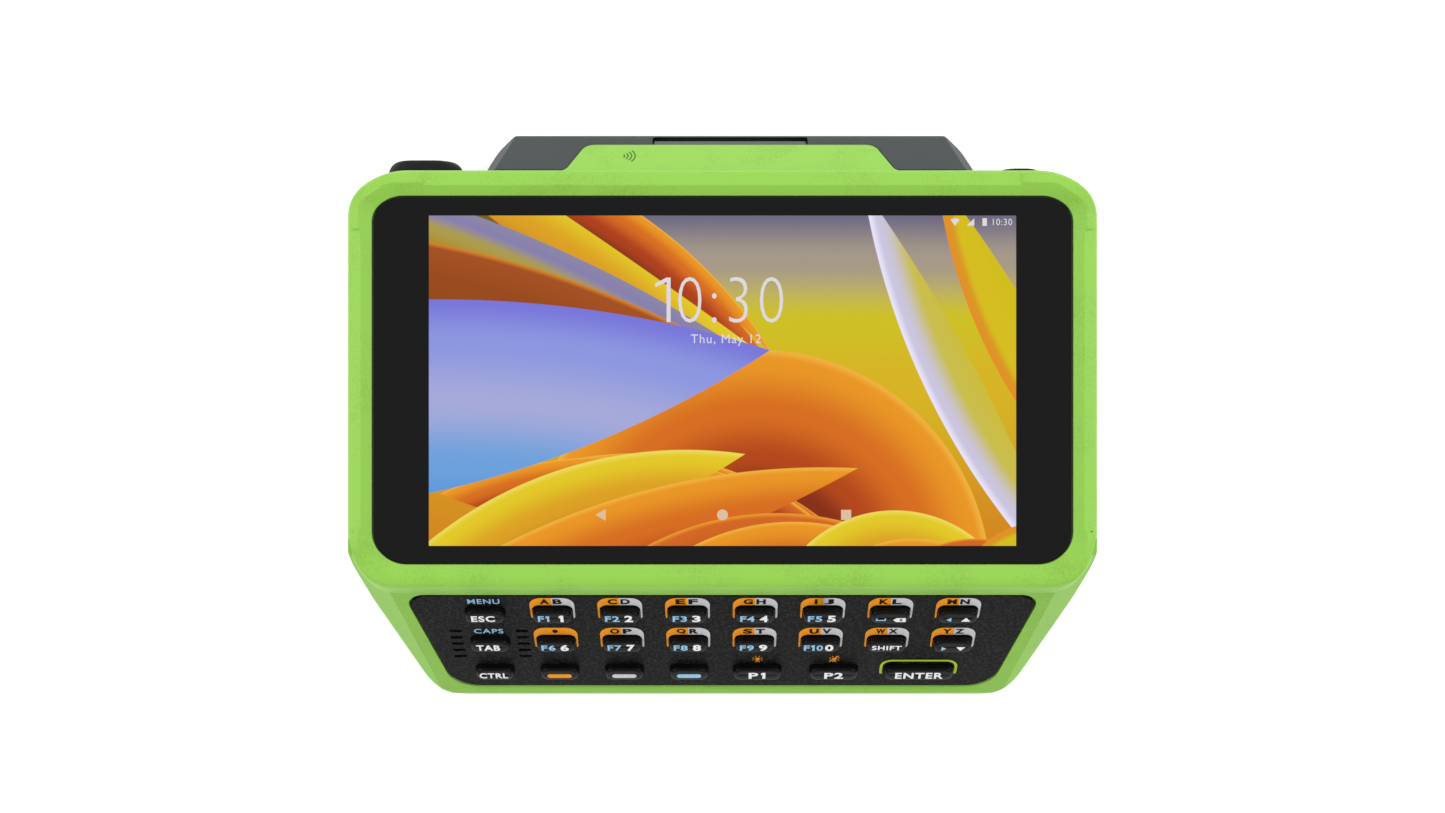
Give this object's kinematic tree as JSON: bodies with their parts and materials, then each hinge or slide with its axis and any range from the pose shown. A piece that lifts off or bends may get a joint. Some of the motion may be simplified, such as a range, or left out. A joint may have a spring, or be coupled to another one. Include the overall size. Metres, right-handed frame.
{
  "type": "wearable keypad computer",
  "caption": "Rugged wearable computer with a landscape touch screen in a green bumper frame, a sloping keypad of press keys, side buttons and a slide-out battery.",
  "frame": {"origin": "middle of the footprint on the flat back of the rear shell", "axes": "+X to the right along the screen's long side, +Y towards the battery hump, +Z out of the screen"},
  "size_m": [0.1338, 0.1064, 0.0305],
  "materials": {
    "green_plastic": "moulded, fine satin texture",
    "slate_plastic": "moulded, fine texture",
    "cover_glass": "polished, black printed border",
    "gasket_rubber": "matt foam",
    "display": "lit screen",
    "magnesium": "cast, matt",
    "circuit_board": "solder mask",
    "steel": "bright zinc",
    "inner_plastic": "moulded",
    "gold_contact": "plated",
    "panel_plastic": "fine speckled texture",
    "membrane_rubber": "silicone",
    "cell_wrap": "foil",
    "latch_plastic": "moulded",
    "button_rubber": "soft matt",
    "key_plastic": "glossy, printed"
  },
  "bodies": {
    "housing": {"bumper_frame": "green_plastic", "rear_housing": "slate_plastic", "touch_glass": "cover_glass", "display_gasket": "gasket_rubber", "display_panel": "display", "mid_frame": "magnesium", "main_board": "circuit_board", "shield_can": "steel", "battery_connector": "inner_plastic", "speaker": "inner_plastic", "nfc_antenna": "gold_contact", "keypad_panel": "panel_plastic", "keypad_membrane": "membrane_rubber", "keypad_board": "circuit_board", "trigger_switch": "inner_plastic", "power_switch": "inner_plastic", "vibration_motor": "steel", "housing_screw_1": "steel", "housing_screw_2": "steel", "housing_screw_3": "steel", "housing_screw_4": "steel", "dock_contacts": "gold_contact"},
    "battery": {"battery_case": "slate_plastic", "battery_lid": "slate_plastic", "battery_cell": "cell_wrap", "battery_contacts": "gold_contact"},
    "latch": {"battery_latch": "latch_plastic"},
    "trigger": {"trigger_button": "button_rubber"},
    "power": {"power_button": "slate_plastic"},
    "key_esc_body": {"key_esc": "key_plastic"},
    "key_1_body": {"key_1": "key_plastic"},
    "key_2_body": {"key_2": "key_plastic"},
    "key_3_body": {"key_3": "key_plastic"},
    "key_4_body": {"key_4": "key_plastic"},
    "key_5_body": {"key_5": "key_plastic"},
    "key_space_body": {"key_space": "key_plastic"},
    "key_up_body": {"key_up": "key_plastic"},
    "key_tab_body": {"key_tab": "key_plastic"},
    "key_6_body": {"key_6": "key_plastic"},
    "key_7_body": {"key_7": "key_plastic"},
    "key_8_body": {"key_8": "key_plastic"},
    "key_9_body": {"key_9": "key_plastic"},
    "key_0_body": {"key_0": "key_plastic"},
    "key_shift_body": {"key_shift": "key_plastic"},
    "key_down_body": {"key_down": "key_plastic"},
    "key_ctrl_body": {"key_ctrl": "key_plastic"},
    "key_orange_body": {"key_orange": "key_plastic"},
    "key_grey_body": {"key_grey": "key_plastic"},
    "key_blue_body": {"key_blue": "key_plastic"},
    "key_p1_body": {"key_p1": "key_plastic"},
    "key_p2_body": {"key_p2": "key_plastic"},
    "key_enter_body": {"key_enter": "key_plastic"}
  },
  "joints": [
    {"name": "battery_slide", "type": "slide", "parent": "housing", "child": "battery", "axis": [0, 1, 0], "range_m": [0, 0.07]},
    {"name": "latch_press", "type": "slide", "parent": "housing", "child": "latch", "axis": [0, -0.7431, -0.6691], "range_m": [0, 0.0012], "stiffness_N_per_m": 600},
    {"name": "trigger_press", "type": "slide", "parent": "housing", "child": "trigger", "axis": [0, -1, 0], "range_m": [0, 0.0008], "stiffness_N_per_m": 600},
    {"name": "power_press", "type": "slide", "parent": "housing", "child": "power", "axis": [0, -1, 0], "range_m": [0, 0.0008], "stiffness_N_per_m": 600},
    {"name": "key_esc_press", "type": "slide", "parent": "housing", "child": "key_esc_body", "axis": [0, 0.7314, -0.682], "range_m": [0, 0.0008], "stiffness_N_per_m": 400},
    {"name": "key_1_press", "type": "slide", "parent": "housing", "child": "key_1_body", "axis": [0, 0.7314, -0.682], "range_m": [0, 0.0008], "stiffness_N_per_m": 400},
    {"name": "key_2_press", "type": "slide", "parent": "housing", "child": "key_2_body", "axis": [0, 0.7314, -0.682], "range_m": [0, 0.0008], "stiffness_N_per_m": 400},
    {"name": "key_3_press", "type": "slide", "parent": "housing", "child": "key_3_body", "axis": [0, 0.7314, -0.682], "range_m": [0, 0.0008], "stiffness_N_per_m": 400},
    {"name": "key_4_press", "type": "slide", "parent": "housing", "child": "key_4_body", "axis": [0, 0.7314, -0.682], "range_m": [0, 0.0008], "stiffness_N_per_m": 400},
    {"name": "key_5_press", "type": "slide", "parent": "housing", "child": "key_5_body", "axis": [0, 0.7314, -0.682], "range_m": [0, 0.0008], "stiffness_N_per_m": 400},
    {"name": "key_space_press", "type": "slide", "parent": "housing", "child": "key_space_body", "axis": [0, 0.7314, -0.682], "range_m": [0, 0.0008], "stiffness_N_per_m": 400},
    {"name": "key_up_press", "type": "slide", "parent": "housing", "child": "key_up_body", "axis": [0, 0.7314, -0.682], "range_m": [0, 0.0008], "stiffness_N_per_m": 400},
    {"name": "key_tab_press", "type": "slide", "parent": "housing", "child": "key_tab_body", "axis": [0, 0.7314, -0.682], "range_m": [0, 0.0008], "stiffness_N_per_m": 400},
    {"name": "key_6_press", "type": "slide", "parent": "housing", "child": "key_6_body", "axis": [0, 0.7314, -0.682], "range_m": [0, 0.0008], "stiffness_N_per_m": 400},
    {"name": "key_7_press", "type": "slide", "parent": "housing", "child": "key_7_body", "axis": [0, 0.7314, -0.682], "range_m": [0, 0.0008], "stiffness_N_per_m": 400},
    {"name": "key_8_press", "type": "slide", "parent": "housing", "child": "key_8_body", "axis": [0, 0.7314, -0.682], "range_m": [0, 0.0008], "stiffness_N_per_m": 400},
    {"name": "key_9_press", "type": "slide", "parent": "housing", "child": "key_9_body", "axis": [0, 0.7314, -0.682], "range_m": [0, 0.0008], "stiffness_N_per_m": 400},
    {"name": "key_0_press", "type": "slide", "parent": "housing", "child": "key_0_body", "axis": [0, 0.7314, -0.682], "range_m": [0, 0.0008], "stiffness_N_per_m": 400},
    {"name": "key_shift_press", "type": "slide", "parent": "housing", "child": "key_shift_body", "axis": [0, 0.7314, -0.682], "range_m": [0, 0.0008], "stiffness_N_per_m": 400},
    {"name": "key_down_press", "type": "slide", "parent": "housing", "child": "key_down_body", "axis": [0, 0.7314, -0.682], "range_m": [0, 0.0008], "stiffness_N_per_m": 400},
    {"name": "key_ctrl_press", "type": "slide", "parent": "housing", "child": "key_ctrl_body", "axis": [0, 0.7314, -0.682], "range_m": [0, 0.0008], "stiffness_N_per_m": 400},
    {"name": "key_orange_press", "type": "slide", "parent": "housing", "child": "key_orange_body", "axis": [0, 0.7314, -0.682], "range_m": [0, 0.0008], "stiffness_N_per_m": 400},
    {"name": "key_grey_press", "type": "slide", "parent": "housing", "child": "key_grey_body", "axis": [0, 0.7314, -0.682], "range_m": [0, 0.0008], "stiffness_N_per_m": 400},
    {"name": "key_blue_press", "type": "slide", "parent": "housing", "child": "key_blue_body", "axis": [0, 0.7314, -0.682], "range_m": [0, 0.0008], "stiffness_N_per_m": 400},
    {"name": "key_p1_press", "type": "slide", "parent": "housing", "child": "key_p1_body", "axis": [0, 0.7314, -0.682], "range_m": [0, 0.0008], "stiffness_N_per_m": 400},
    {"name": "key_p2_press", "type": "slide", "parent": "housing", "child": "key_p2_body", "axis": [0, 0.7314, -0.682], "range_m": [0, 0.0008], "stiffness_N_per_m": 400},
    {"name": "key_enter_press", "type": "slide", "parent": "housing", "child": "key_enter_body", "axis": [0, 0.7314, -0.682], "range_m": [0, 0.0008], "stiffness_N_per_m": 400}
  ]
}
